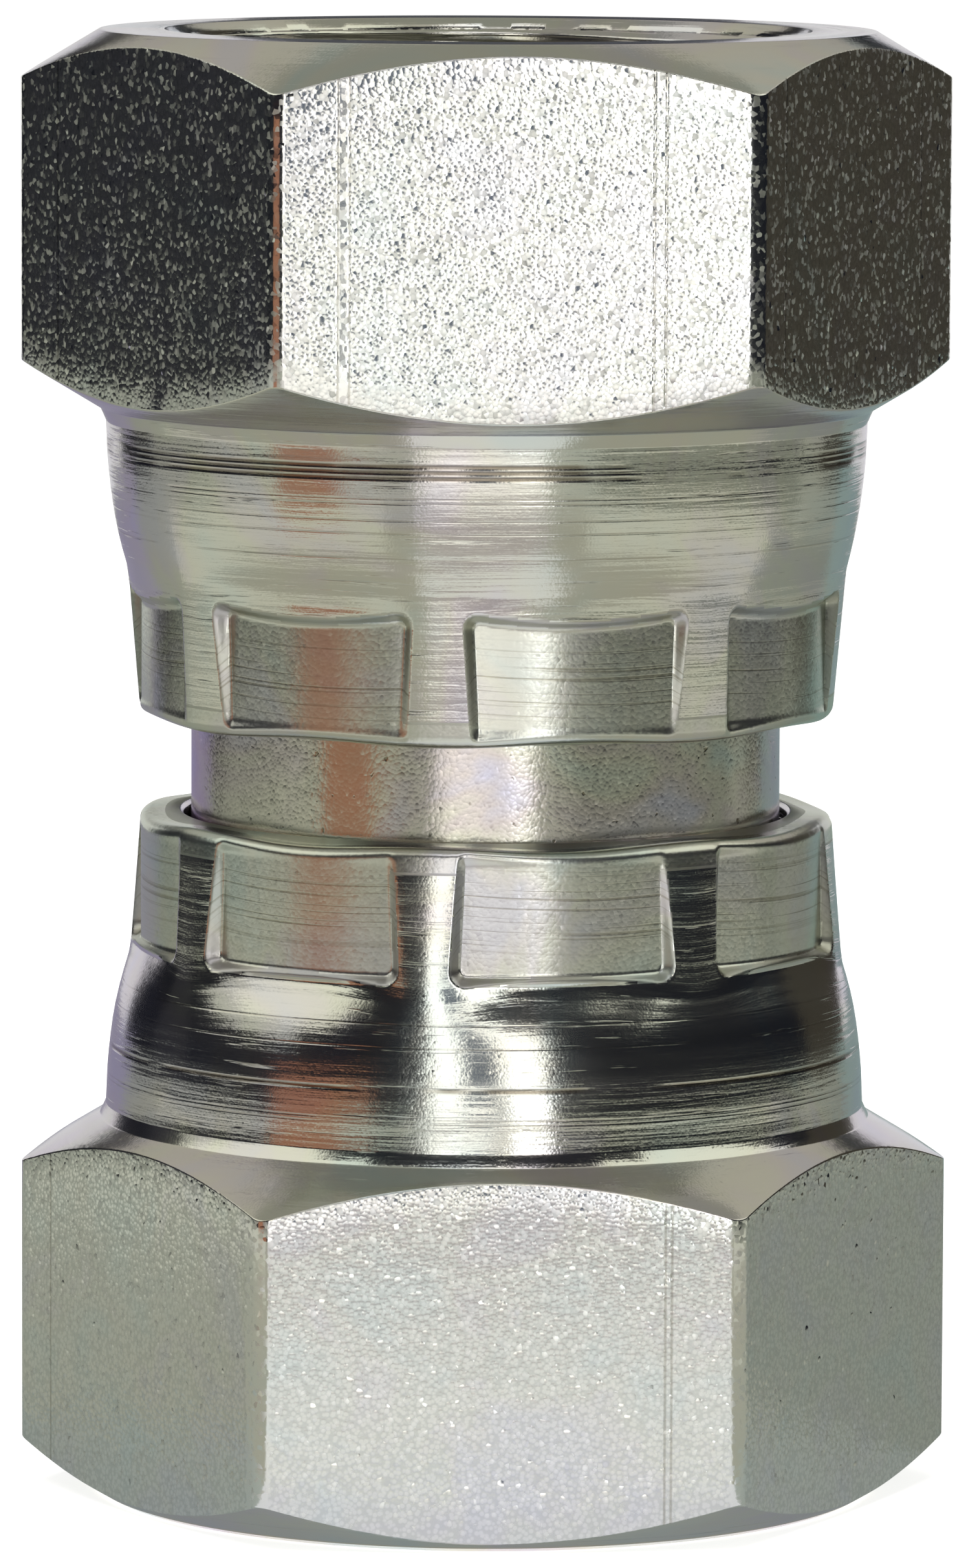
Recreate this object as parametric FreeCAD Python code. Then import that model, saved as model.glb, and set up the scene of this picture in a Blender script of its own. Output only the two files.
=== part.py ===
"""Straight hydraulic adapter with a swivelling female nut at each end.

Two hexagonal nuts turn freely on one tubular stem. The stem has a 60 degree cone nose at each end and,
behind each nose, a shoulder. The skirt of each nut is pressed inwards behind that shoulder by eight jaws,
which leave eight shallow pads round the skirt and keep the nut on the stem.

The object stands on the mouth of its lower nut. Z is the common axis, +Z is up, and the origin is the centre
of the face that it stands on. -Y is the front. Angles round the axis are measured from the front towards +X.
All sizes are millimetres.
"""

import FreeCAD
import Part
import math
import os

# Hexagon of each nut
ACROSS_FLATS = 22.0
HEX_CORNER_RADIUS = 0.6
HEX_HEIGHT = 9.88  # from the mouth face to where the flats end, at the middle of a flat
CHAMFER_ANGLE = 31.0  # both ends of the hexagon, measured from the end face
MOUTH_FACE_SETBACK = 0.5  # from the flats in to the edge of the mouth face
NECK_SETBACK = 0.6  # from the flats in to the root of the neck

# Thread of each nut, a parallel pipe thread of nominal size 3/8, drawn as the bore at its crests
THREAD_MAJOR_DIAMETER = 16.662
THREAD_HEIGHT = 0.856
THREAD_LENGTH = 6.6
COUNTERSINK_RISE = 0.4  # radial, from the thread's roots out to the edge of the countersink
COUNTERSINK_ANGLE = 40.0  # measured from the mouth face
RELIEF_GROWTH = 0.1  # radial, from the thread's roots out to the plain bore behind it
RELIEF_LENGTH = 5.35

# Neck and skirt of each nut, pressed round the stem
NECK_ROOT_FILLET = 0.45
NECK_LAND_LENGTH = 1.25  # nearly straight, from the root of the neck
NECK_LAND_FALL = 0.12  # radial, over the land
NECK_CURVE_LENGTH = 3.0  # from the land to the even skirt that the jaws press
NECK_CURVE_BULGE = 0.065
SKIRT_WALL = 0.95  # round the shoulder, where the even skirt begins
LIP_WALL = 1.22  # behind the shoulder, at the end of the skirt
LIP_LENGTH = 2.8
LIP_END_RADIUS = 0.35
LIP_BORE_CHAMFER = 0.25

# Pads left by the crimping jaws
PAD_COUNT = 8
PAD_HEIGHT = 3.7
PAD_DEPTH = 0.1  # at the skirt's end; the jaws are straight and bite deeper towards the neck
PAD_WIDTH_AT_END = 5.5
PAD_WIDTH_AT_NECK = 6.07
PAD_CORNER_RADIUS = 0.45
PAD_EDGE_SAG = 0.3  # how much nearer the skirt's end the middle of a pad's other edge lies

# Stem
FLOW_BORE_DIAMETER = 9.0
SEAT_LEDGE = 0.22  # radial, how far the shoulder reaches over the nut's inner step
SHOULDER_RISE = 0.651  # radial, above the collar
SHOULDER_THICKNESS = 1.85
SHOULDER_BACK_ANGLE = 45.0
NOSE_DIAMETER = 14.2
NOSE_LENGTH = 5.0
NOSE_TIP_WALL = 1.0
NOSE_HALF_ANGLE = 30.0
NOSE_TIP_CHAMFER = 0.15
FLOW_BORE_CHAMFER = 0.3

# Fits between nut and stem
LIP_CLEARANCE = 0.2  # radial, round the collar
SHOULDER_CLEARANCE = 0.2  # radial, round the shoulder
SEAT_CLEARANCE = 0.1  # axial, between the shoulder and the nut's inner step
NUT_FLOAT = 0.35  # axial, until the skirt catches the back of the shoulder

# How the two nuts stand
NUT_GAP = 2.6
LOWER_HEX_TURN = 2.4
UPPER_HEX_TURN = 4.2
LOWER_PAD_TURN = 13.0
UPPER_PAD_TURN = 15.0

# Radii that follow from the sizes above
FLAT_RADIUS = ACROSS_FLATS / 2
HEX_CORNER = FLAT_RADIUS / math.cos(math.radians(30))
THREAD_ROOT_RADIUS = THREAD_MAJOR_DIAMETER / 2
THREAD_RADIUS = THREAD_ROOT_RADIUS - THREAD_HEIGHT
COUNTERSINK_RADIUS = THREAD_ROOT_RADIUS + COUNTERSINK_RISE
RELIEF_RADIUS = THREAD_ROOT_RADIUS + RELIEF_GROWTH
SHOULDER_RADIUS = RELIEF_RADIUS + SEAT_LEDGE
COLLAR_RADIUS = SHOULDER_RADIUS - SHOULDER_RISE
LIP_BORE_RADIUS = COLLAR_RADIUS + LIP_CLEARANCE
POCKET_RADIUS = SHOULDER_RADIUS + SHOULDER_CLEARANCE
NECK_ROOT_RADIUS = FLAT_RADIUS - NECK_SETBACK
LAND_END_RADIUS = NECK_ROOT_RADIUS - NECK_LAND_FALL
SKIRT_RADIUS = POCKET_RADIUS + SKIRT_WALL
LIP_OUTER_RADIUS = LIP_BORE_RADIUS + LIP_WALL
PAD_RADIUS = LIP_OUTER_RADIUS - PAD_DEPTH
FLOW_BORE_RADIUS = FLOW_BORE_DIAMETER / 2
NOSE_RADIUS = NOSE_DIAMETER / 2
NOSE_TIP_RADIUS = FLOW_BORE_RADIUS + NOSE_TIP_WALL

# Heights inside a nut, from its mouth face
CHAMFER_SLOPE = math.tan(math.radians(CHAMFER_ANGLE))
BACK_SLOPE = math.tan(math.radians(SHOULDER_BACK_ANGLE))
COUNTERSINK_DEPTH = (COUNTERSINK_RADIUS - THREAD_RADIUS) * math.tan(math.radians(COUNTERSINK_ANGLE))
THREAD_END = COUNTERSINK_DEPTH + THREAD_LENGTH
SEAT_DEPTH = THREAD_END + RELIEF_LENGTH
SHOULDER_FACE = SEAT_DEPTH + SEAT_CLEARANCE
SHOULDER_BACK = SHOULDER_FACE + SHOULDER_THICKNESS
POCKET_END = SHOULDER_BACK + NUT_FLOAT - SHOULDER_CLEARANCE * BACK_SLOPE
LIP_START = POCKET_END + (POCKET_RADIUS - LIP_BORE_RADIUS) * BACK_SLOPE
NUT_LENGTH = LIP_START + LIP_LENGTH
NECK_ROOT = HEX_HEIGHT + NECK_SETBACK * CHAMFER_SLOPE
LAND_END = NECK_ROOT + NECK_LAND_LENGTH
SKIRT_START = LAND_END + NECK_CURVE_LENGTH
PAD_START = NUT_LENGTH - PAD_HEIGHT

# Heights on the whole object
OVERALL_LENGTH = 2 * NUT_LENGTH + NUT_GAP

AXIS_POINT = FreeCAD.Vector(0, 0, 0)
UP = FreeCAD.Vector(0, 0, 1)
OUTSIDE = HEX_CORNER + 1.0  # a radius clear of everything
PAD_OVERRUN = 1.0  # how far a jaw reaches past the skirt's end


def at(radius, height):
    """A point of a turned profile, in the XZ plane."""
    return FreeCAD.Vector(radius, 0, height)


def rounded_outline(corners):
    """Edges through corners given as (radius, height, rounding), open at both ends."""
    edges = []
    last = at(*corners[0][:2])
    for before, here, after in zip(corners, corners[1:], corners[2:]):
        corner = at(*here[:2])
        into = (corner - at(*before[:2])).normalize()
        onward = (at(*after[:2]) - corner).normalize()
        rounding = here[2]
        if rounding > 0:
            turn = into.getAngle(onward)
            reach = rounding * math.tan(turn / 2)
            start = corner - into * reach
            end = corner + onward * reach
            inward = (onward - into).normalize()
            middle = corner + inward * (rounding / math.cos(turn / 2) - rounding)
            edges.append(Part.LineSegment(last, start).toShape())
            edges.append(Part.Arc(start, middle, end).toShape())
            last = end
        else:
            edges.append(Part.LineSegment(last, corner).toShape())
            last = corner
    edges.append(Part.LineSegment(last, at(*corners[-1][:2])).toShape())
    return edges


def turned(edges):
    """The solid turned from a closed profile."""
    face = Part.Face(Part.Wire(Part.__sortEdges__(edges)))
    return face.revolve(AXIS_POINT, UP, 360)


def middle_of_neck_curve():
    """The point of the neck's curve that stands out furthest from its chord."""
    fall = LAND_END_RADIUS - SKIRT_RADIUS
    chord = math.hypot(NECK_CURVE_LENGTH, fall)
    radius = (LAND_END_RADIUS + SKIRT_RADIUS) / 2 + NECK_CURVE_BULGE * NECK_CURVE_LENGTH / chord
    height = (LAND_END + SKIRT_START) / 2 + NECK_CURVE_BULGE * fall / chord
    return at(radius, height)


def turned_nut_blank():
    """A nut as it leaves the lathe, before its six flats: mouth face down, skirt up."""
    mouth_edge = FLAT_RADIUS - MOUTH_FACE_SETBACK
    hexagon_and_land = [
        (mouth_edge, 0, 0),
        (OUTSIDE, (OUTSIDE - mouth_edge) * CHAMFER_SLOPE, 0),
        (OUTSIDE, NECK_ROOT - (OUTSIDE - NECK_ROOT_RADIUS) * CHAMFER_SLOPE, 0),
        (NECK_ROOT_RADIUS, NECK_ROOT, NECK_ROOT_FILLET),
        (LAND_END_RADIUS, LAND_END, 0),
    ]
    land_end = at(LAND_END_RADIUS, LAND_END)
    neck_curve = Part.Arc(land_end, middle_of_neck_curve(), at(SKIRT_RADIUS, SKIRT_START))
    skirt_and_bore = [
        (SKIRT_RADIUS, SKIRT_START, 0),
        (LIP_OUTER_RADIUS, NUT_LENGTH, LIP_END_RADIUS),
        (LIP_BORE_RADIUS + LIP_BORE_CHAMFER, NUT_LENGTH, 0),
        (LIP_BORE_RADIUS, NUT_LENGTH - LIP_BORE_CHAMFER, 0),
        (LIP_BORE_RADIUS, LIP_START, 0),
        (POCKET_RADIUS, POCKET_END, 0),
        (POCKET_RADIUS, SEAT_DEPTH, 0),
        (RELIEF_RADIUS, SEAT_DEPTH, 0),
        (RELIEF_RADIUS, THREAD_END, 0),
        (THREAD_RADIUS, THREAD_END, 0),
        (THREAD_RADIUS, COUNTERSINK_DEPTH, 0),
        (COUNTERSINK_RADIUS, 0, 0),
        (mouth_edge, 0, 0),
    ]
    rest = rounded_outline(skirt_and_bore)
    return turned(rounded_outline(hexagon_and_land) + [neck_curve.toShape()] + rest)


def hexagonal_bar(length):
    """Bright drawn bar with rounded corners. One flat faces the front."""
    corner_angles = [math.radians(30 + 60 * k) for k in range(7)]
    corners = [FreeCAD.Vector(math.sin(a), -math.cos(a), 0) * HEX_CORNER for a in corner_angles]
    bar = Part.Face(Part.makePolygon(corners)).extrude(UP * length)
    upright = [edge for edge in bar.Edges if edge.BoundBox.ZLength > length / 2]
    return bar.makeFillet(HEX_CORNER_RADIUS, upright)


def jaw_block(near, far):
    """A block in the outline of a pad, between two planes in front of the axis."""
    end = NUT_LENGTH + PAD_OVERRUN
    taper = (PAD_WIDTH_AT_NECK - PAD_WIDTH_AT_END) / PAD_HEIGHT
    half_start = PAD_WIDTH_AT_NECK / 2
    half_end = half_start - taper / 2 * (end - PAD_START)
    middle = FreeCAD.Vector(0, -near, PAD_START + PAD_EDGE_SAG)
    start_left, start_right = (FreeCAD.Vector(x, -near, PAD_START) for x in (-half_start, half_start))
    end_left, end_right = (FreeCAD.Vector(x, -near, end) for x in (-half_end, half_end))
    outline = [
        Part.Arc(start_left, middle, start_right),
        Part.LineSegment(start_right, end_right),
        Part.LineSegment(end_right, end_left),
        Part.LineSegment(end_left, start_left),
    ]
    face = Part.Face(Part.Wire([edge.toShape() for edge in outline]))
    block = face.extrude(FreeCAD.Vector(0, near - far, 0))
    corner_edges = [
        edge for edge in block.Edges
        if abs(edge.BoundBox.YLength - (far - near)) < 0.01 and edge.BoundBox.ZMax < NUT_LENGTH
    ]
    return block.makeFillet(PAD_CORNER_RADIUS, corner_edges)


def crimping_jaw():
    """What one jaw takes away at the front of the skirt: a block hollowed to the radius of the pads."""
    near = PAD_RADIUS * math.cos(PAD_WIDTH_AT_NECK / 2 / PAD_RADIUS) - PAD_DEPTH
    far = SKIRT_RADIUS + PAD_DEPTH
    core_base = FreeCAD.Vector(0, 0, PAD_START - PAD_OVERRUN)
    core = Part.makeCylinder(PAD_RADIUS, PAD_HEIGHT + 3 * PAD_OVERRUN, core_base, UP)
    return jaw_block(near, far).cut(core)


def swivel_nut(hex_turn, pad_turn):
    """A finished nut, crimped, mouth face down on z = 0. Both turns are measured at the front."""
    hexagon = hexagonal_bar(NUT_LENGTH)
    hexagon.rotate(AXIS_POINT, UP, hex_turn)
    nut = turned_nut_blank().common(hexagon)
    for k in range(PAD_COUNT):
        jaw = crimping_jaw()
        jaw.rotate(AXIS_POINT, UP, pad_turn + k * 360 / PAD_COUNT)
        nut = nut.cut(jaw)
    return nut.removeSplitter()


def upper_nut():
    """The upper nut is the same piece turned over, so its turns are given the other way round."""
    nut = swivel_nut(-UPPER_HEX_TURN, -UPPER_PAD_TURN)
    nut.rotate(AXIS_POINT, FreeCAD.Vector(0, 1, 0), 180)
    nut.translate(FreeCAD.Vector(0, 0, OVERALL_LENGTH))
    return nut


def stem():
    """The tube that both nuts turn on, with a shoulder and a cone nose at each end."""
    cone_height = (NOSE_RADIUS - NOSE_TIP_RADIUS) / math.tan(math.radians(NOSE_HALF_ANGLE))
    tip = SHOULDER_FACE - NOSE_LENGTH
    middle = OVERALL_LENGTH / 2
    lower_half = [
        (FLOW_BORE_RADIUS, middle, 0),
        (FLOW_BORE_RADIUS, tip + FLOW_BORE_CHAMFER, 0),
        (FLOW_BORE_RADIUS + FLOW_BORE_CHAMFER, tip, 0),
        (NOSE_TIP_RADIUS - NOSE_TIP_CHAMFER, tip, 0),
        (NOSE_TIP_RADIUS, tip + NOSE_TIP_CHAMFER, 0),
        (NOSE_RADIUS, tip + cone_height, 0),
        (NOSE_RADIUS, SHOULDER_FACE, 0),
        (SHOULDER_RADIUS, SHOULDER_FACE, 0),
        (SHOULDER_RADIUS, SHOULDER_BACK, 0),
        (COLLAR_RADIUS, SHOULDER_BACK + SHOULDER_RISE * BACK_SLOPE, 0),
        (COLLAR_RADIUS, middle, 0),
        (FLOW_BORE_RADIUS, middle, 0),
    ]
    half = turned(rounded_outline(lower_half))
    other = half.mirror(FreeCAD.Vector(0, 0, middle), UP)
    return half.fuse(other).removeSplitter()


def main():
    pieces = {
        "lower_nut": swivel_nut(LOWER_HEX_TURN, LOWER_PAD_TURN),
        "upper_nut": upper_nut(),
        "stem": stem(),
    }
    os.makedirs("parts", exist_ok=True)
    for name, shape in pieces.items():
        solid = shape.Solids[0]
        box = solid.optimalBoundingBox()
        print(f"{name}: {len(shape.Solids)} solid, valid {solid.isValid()}, {len(solid.Faces)} faces, "
              f"{solid.Volume:.1f} mm3, z {box.ZMin:.2f} to {box.ZMax:.2f}")
        solid.exportStep(f"parts/{name}.step")


main()
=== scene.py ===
import math

import bpy
import numpy as np
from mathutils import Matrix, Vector


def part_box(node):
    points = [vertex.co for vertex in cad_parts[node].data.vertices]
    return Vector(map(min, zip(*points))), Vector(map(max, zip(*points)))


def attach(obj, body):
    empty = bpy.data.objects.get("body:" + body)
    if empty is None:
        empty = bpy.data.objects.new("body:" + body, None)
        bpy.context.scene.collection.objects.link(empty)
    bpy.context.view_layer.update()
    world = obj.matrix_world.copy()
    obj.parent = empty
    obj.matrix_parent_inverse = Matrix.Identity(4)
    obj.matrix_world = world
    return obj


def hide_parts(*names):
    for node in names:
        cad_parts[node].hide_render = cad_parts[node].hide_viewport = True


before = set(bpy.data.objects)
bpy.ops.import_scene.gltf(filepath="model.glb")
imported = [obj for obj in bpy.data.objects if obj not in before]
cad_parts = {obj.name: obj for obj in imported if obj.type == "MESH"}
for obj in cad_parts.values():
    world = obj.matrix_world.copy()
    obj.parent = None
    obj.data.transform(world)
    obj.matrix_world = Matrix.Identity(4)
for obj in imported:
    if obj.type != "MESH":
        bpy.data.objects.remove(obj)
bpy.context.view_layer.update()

# A straight adapter of zinc-plated steel: a tubular stem with a crimped swivel nut on each end.
# Lengths are millimetres until a mesh is made. Angles round the axis run from the front, -Y, towards +X.

MM = 0.001
MICRON = 0.000001
NUT_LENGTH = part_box("lower_nut")[1].z / MM
OVERALL_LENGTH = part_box("upper_nut")[1].z / MM
STEM_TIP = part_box("stem")[0].z / MM

# Hexagon
FLAT_RADIUS = 11.0
FLAT_WIDTH = 2 * FLAT_RADIUS * math.tan(math.radians(30))
CORNER_ROUNDING = 0.6
CHAMFER_SLOPE = math.tan(math.radians(31.0))
MOUTH_EDGE = FLAT_RADIUS - 0.5
HEX_HEIGHT = 9.88  # up to where the rear chamfer leaves the middle of a flat
ROOT_STEP = 0.6  # how far in from the flats the neck begins
EDGE_BREAK = 0.07  # the tumbled edges of the flats

# Neck and skirt. Pairs are a radius and a height.
NECK_ROOT_RADIUS = FLAT_RADIUS - ROOT_STEP
NECK_ROOT = HEX_HEIGHT + ROOT_STEP * CHAMFER_SLOPE
NECK_ROOT_FILLET = 0.1
BAND_HALF_WIDTH = 0.08  # of the narrow cone at the neck's root
BAND_START = (NECK_ROOT_RADIUS + BAND_HALF_WIDTH, NECK_ROOT - BAND_HALF_WIDTH * CHAMFER_SLOPE)
BAND_END = (NECK_ROOT_RADIUS - BAND_HALF_WIDTH, NECK_ROOT + 0.31)
LAND_END = (NECK_ROOT_RADIUS - 0.12, NECK_ROOT + 1.25)
SKIRT_START = (9.801, NECK_ROOT + 4.25)
NECK_BULGE = 0.065
NECK_SPANS = 7
LIP_OUTER_RADIUS = 9.42
LIP_END_ROUNDING = 0.35
LIP_BORE_RADIUS = 8.2
LIP_BORE_CHAMFER = 0.1
LIP_START = NUT_LENGTH - 2.8
POCKET_RADIUS = 8.851
SEAT_DEPTH = 13.004

# Pads that the crimping jaws pressed
PAD_COUNT = 8
PAD_HEIGHT = 3.7
PAD_START = NUT_LENGTH - PAD_HEIGHT
PAD_RADIUS = LIP_OUTER_RADIUS - 0.1
PAD_CROWN = 0.1  # a pad is shallower along its middle than at its sides
PAD_HALF_WIDTH = 3.14
PAD_TAPER = (PAD_HALF_WIDTH - 2.93) / PAD_HEIGHT
PAD_MEASURE_RADIUS = 9.6  # where a pad's widths are measured
PAD_CORNER = 0.5
UPPER_EDGE_SAG, LOWER_EDGE_SAG = 0.28, 0.04  # how far a pad's inner edge is bowed
PAD_LEAN = 0.05  # the jaws bit deeper on their left, by this much at each side
PAD_WALL = 0.29  # how wide the sloping side of a pad is
RIM_FADE = 0.5
SATIN_RIM = 0.7  # how far the jaws dulled the skirt's end
UPPER_DIP, LOWER_DIP = 0.13, 0.3  # how far the jaws drew the neck's wall in
DIP_LENGTH = 2.1  # over what length of the neck they did
DIP_REACH = 1.25  # and how far to each side, in half widths of a pad
DIP_POWER = 2.2
RIM_WAVE = 0.12  # how far the rim stands out between pads
RIM_WAVE_LENGTH = 1.4
OUTSIDE_DEPTH = 0.2  # rows down to this far inside the lip's outer radius are the nut's outside
OUTSIDE_FADE = (0.05, 0.25)  # depths under the outside between which the jaws' reach ends
PAD_RINGS = NUT_LENGTH - 1.7  # where the jaws left most of the tool's rings
BRUISED_AND_SHADED_FROM, PRESSED_FROM = 0.03, 0.85  # shares of a pad's full depth where a finish begins

# Thread, 3/8 parallel pipe thread with 19 turns to the inch
PITCH = 25.4 / 19
THREAD_ROOT_RADIUS = 16.662 / 2
THREAD_CREST_RADIUS = THREAD_ROOT_RADIUS - 0.856
COUNTERSINK_RADIUS = THREAD_ROOT_RADIUS + 0.4
COUNTERSINK_SLOPE = math.tan(math.radians(40.0))
THREAD_END = (COUNTERSINK_RADIUS - THREAD_CREST_RADIUS) * COUNTERSINK_SLOPE + 6.6
RELIEF_RADIUS = THREAD_ROOT_RADIUS + 0.1
THREAD_BED = 0.03  # how deep the thread's own mesh is set into the bore's wall
THREAD_ROWS_PER_PITCH = 16
THREAD_COLUMNS = 181

# Stem
COLLAR_RADIUS = 8.0
SHOULDER_RADIUS = 8.651
SHOULDER_THICKNESS = 1.85
NOSE_RADIUS = 7.1
NOSE_TIP_RADIUS = 5.5
NOSE_LENGTH = 5.0
NOSE_SLOPE = math.tan(math.radians(60.0))
FLOW_BORE_RADIUS = 4.5
FLOW_BORE_CHAMFER = 0.3

# How the nuts stand in the picture, in degrees
LOWER_HEX_TURN = 2.4
UPPER_HEX_TURN = 4.2
LOWER_PAD_TURN = 13.0
UPPER_PAD_TURN = 15.0

# What the tool and the drawing die left: rings by their height from a nut's mouth, scratches and
# burnished bands by their place along the flats from the middle of the front one
LOWER_SHIFT = 200.0  # keeps the lower nut's lines apart from the upper one's in the UV map
DEEP_RINGS = (11.05, 11.2, 11.36, LOWER_SHIFT + 12.2)
FAINT_RINGS = (11.9, 12.03, 12.48, 12.83, 13.5,
               LOWER_SHIFT + 11.3, LOWER_SHIFT + 11.42, LOWER_SHIFT + 13.3, LOWER_SHIFT + 13.9)
UPPER_LINES = (-17.0, -4.7, -4.4, 3.55, 3.86, 7.87, 16.74, 29.0, -29.5)
LOWER_LINES = (-17.3, 4.34, 4.51, 21.3, 33.5, -31.0)
BURNISHED = (-9.36, -4.55, 28.2, -26.0,
             LOWER_SHIFT - 6.55, LOWER_SHIFT - 6.85, LOWER_SHIFT - 25.0, LOWER_SHIFT + 29.0)


def hex_color(text):
    """An sRGB hex colour as the linear one that a shader takes."""
    channels = [int(text[i:i + 2], 16) / 255 for i in (1, 3, 5)]
    linear = [c / 12.92 if c <= 0.04045 else ((c + 0.055) / 1.055) ** 2.4 for c in channels]
    return (*linear, 1.0)


def add(tree, kind, values=None, **settings):
    """One node. Settings are its properties, and values its sockets.

    A value is a number, a hex colour, another socket, or a node, of which the first output is meant.
    """
    made = tree.nodes.new(kind)
    for name, value in settings.items():
        setattr(made, name, value)
    for key, value in (values or {}).items():
        socket = made.inputs[key]
        if isinstance(value, bpy.types.Node):
            value = value.outputs[0]
        if isinstance(value, bpy.types.NodeSocket):
            tree.links.new(value, socket)
        else:
            socket.default_value = hex_color(value) if isinstance(value, str) else value
    return made


# Turned profiles

def arc_through(corner, before, after, rounding, steps):
    """Points that round a corner, for arrays of corners at once."""
    into = corner - before
    into /= np.linalg.norm(into, axis=0)
    onward = after - corner
    onward /= np.linalg.norm(onward, axis=0)
    turn = np.arccos(np.clip((into * onward).sum(0), -1, 1))
    reach = rounding * np.tan(turn / 2)
    inward = onward - into
    inward /= np.linalg.norm(inward, axis=0)
    centre = corner + inward * rounding / np.cos(turn / 2)
    first = corner - into * reach - centre
    last = corner + onward * reach - centre
    shares = [k / steps for k in range(steps + 1)]
    return [centre + (first * np.sin((1 - share) * turn) + last * np.sin(share * turn)) / np.sin(turn)
            for share in shares]


def profile_rows(stations, columns):
    """Rows of (radius, height) arrays along a closed profile, and the zone of each.

    A station is (radius, height, rounding, arc steps, spans to the next station, zone of those spans).
    """
    places = [np.stack([np.broadcast_to(station[0], columns), np.broadcast_to(station[1], columns)])
              .astype(float) for station in stations]
    corners = []
    befores, afters = places[-1:] + places[:-1], places[1:] + places[:1]
    for place, before, after, station in zip(places, befores, afters, stations):
        rounding, steps = station[2:4]
        corners.append(arc_through(place, before, after, rounding, steps) if rounding > 0 else [place])
    rows, zones = [], []
    for points, following, station in zip(corners, corners[1:] + corners[:1], stations):
        spans, zone = station[4:]
        last = points[-1]
        rows += points + [last + (following[0] - last) * step / spans for step in range(1, spans)]
        zones += [zone] * (len(points) + spans - 1)
    return rows, zones


def ring_mesh(name, rows, angles, face_slots, materials, flip=False, uv=None):
    """A closed ring of quads from rows of (radius, height) at each angle, joined all the way round."""
    count, columns = len(rows), len(angles)
    radius = np.array([row[0] for row in rows])
    height = np.array([row[1] for row in rows])
    points = np.stack([radius * np.sin(angles), -radius * np.cos(angles), height], axis=-1) * MM
    below = np.arange(count * columns).reshape(count, columns)
    above = np.roll(below, -1, axis=0)
    quads = np.stack([below, np.roll(below, -1, axis=1), np.roll(above, -1, axis=1), above], axis=-1)
    quads = quads.reshape(-1, 4)
    if flip:
        quads = quads[:, ::-1]
    mesh = bpy.data.meshes.new(name)
    mesh.from_pydata(points.reshape(-1, 3).tolist(), [], quads.tolist())
    for material in materials:
        mesh.materials.append(material)
    mesh.polygons.foreach_set("material_index", face_slots.reshape(-1).astype(np.int32))
    mesh.polygons.foreach_set("use_smooth", np.ones(len(quads), bool))
    if uv is not None:
        layer = mesh.uv_layers.new(name="along_flats")
        corners = np.array([loop.vertex_index for loop in mesh.loops])
        layer.data.foreach_set("uv", uv.reshape(-1, 2)[corners].astype(np.float32).reshape(-1))
    mesh.update()
    piece = bpy.data.objects.new(name, mesh)
    bpy.context.scene.collection.objects.link(piece)
    return piece


def finished(piece):
    """The piece with its modifiers made part of its mesh."""
    graph = bpy.context.evaluated_depsgraph_get()
    mesh = bpy.data.meshes.new_from_object(piece.evaluated_get(graph))
    piece.modifiers.clear()
    piece.data = mesh
    mesh.name = piece.name
    return piece


def weigh_normals(piece):
    """Keeps flats flat to the eye right up to their broken edges."""
    weighted = piece.modifiers.new("flat_faces", "WEIGHTED_NORMAL")
    weighted.weight = 90
    weighted.keep_sharp = True
    return finished(piece)


# Nuts

def hexagon_radius(from_flat):
    """Distance to the hexagon's side, at angles from the middle of a flat."""
    to_corner = np.radians(30) - np.abs(from_flat)
    centre = (FLAT_RADIUS - CORNER_ROUNDING) / math.cos(math.radians(30))
    inside = np.clip(CORNER_ROUNDING ** 2 - (centre * np.sin(to_corner)) ** 2, 0, None)
    rounded = centre * np.cos(to_corner) + np.sqrt(inside)
    tangent = math.atan(math.tan(math.radians(30)) * (1 - CORNER_ROUNDING / FLAT_RADIUS))
    return np.where(np.abs(from_flat) < tangent, FLAT_RADIUS / np.cos(from_flat), rounded)


def wrapped(angles, period):
    """Angles brought to within half a period of zero."""
    return (angles + period / 2) % period - period / 2


def nut_angles(hex_turn, pad_turn):
    """Column angles: even ones, and more of them at the hexagon's corners and the pads' sides."""
    even = np.arange(0, 360, 2.5)
    corner = np.arange(-4, 5) * 0.4
    corners = [hex_turn + 30 + 60 * k + corner for k in range(6)]
    side = np.arange(-4.2, 0.8, 0.3)
    half = math.degrees(PAD_HALF_WIDTH / PAD_MEASURE_RADIUS)
    middles = [pad_turn + 360 / PAD_COUNT * k for k in range(PAD_COUNT)]
    sides = [middle + sign * (half + side) for middle in middles for sign in (-1, 1)]
    special = np.concatenate(corners + sides) % 360
    distance = np.abs(wrapped(even[:, None] - special[None, :], 360)).min(1)
    clear, least = 0.9, 0.12  # of an even column from the others, and of any two columns
    angles = np.sort(np.concatenate([special, even[distance > clear]]))
    return np.radians(angles[np.append(np.diff(angles) > least, True)])


def smooth_step(value):
    """0 to 1 with a soft start and end."""
    value = np.clip(value, 0, 1)
    return value ** 2 * (3 - 2 * value)


def pad_share(angles, heights, pad_turn, edge_sag):
    """How far a place on the skirt is pressed in, from 0 on a ridge to 1 on a pad, and its distance across
    from the pad's middle."""
    across = wrapped(angles - math.radians(pad_turn), math.radians(360 / PAD_COUNT)) * PAD_MEASURE_RADIUS
    along = heights - PAD_START
    side = np.abs(across) - (PAD_HALF_WIDTH - PAD_TAPER * along) + PAD_CORNER
    start = edge_sag * (1 - (across / PAD_HALF_WIDTH) ** 2) - along + PAD_CORNER
    outside = np.hypot(np.maximum(side, 0), np.maximum(start, 0)) + np.minimum(np.maximum(side, start), 0)
    inwards = smooth_step((PAD_CORNER - outside) / PAD_WALL)
    at_rim = smooth_step((heights - NUT_LENGTH + RIM_FADE) / RIM_FADE)
    return inwards * (1 - at_rim), across


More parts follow.
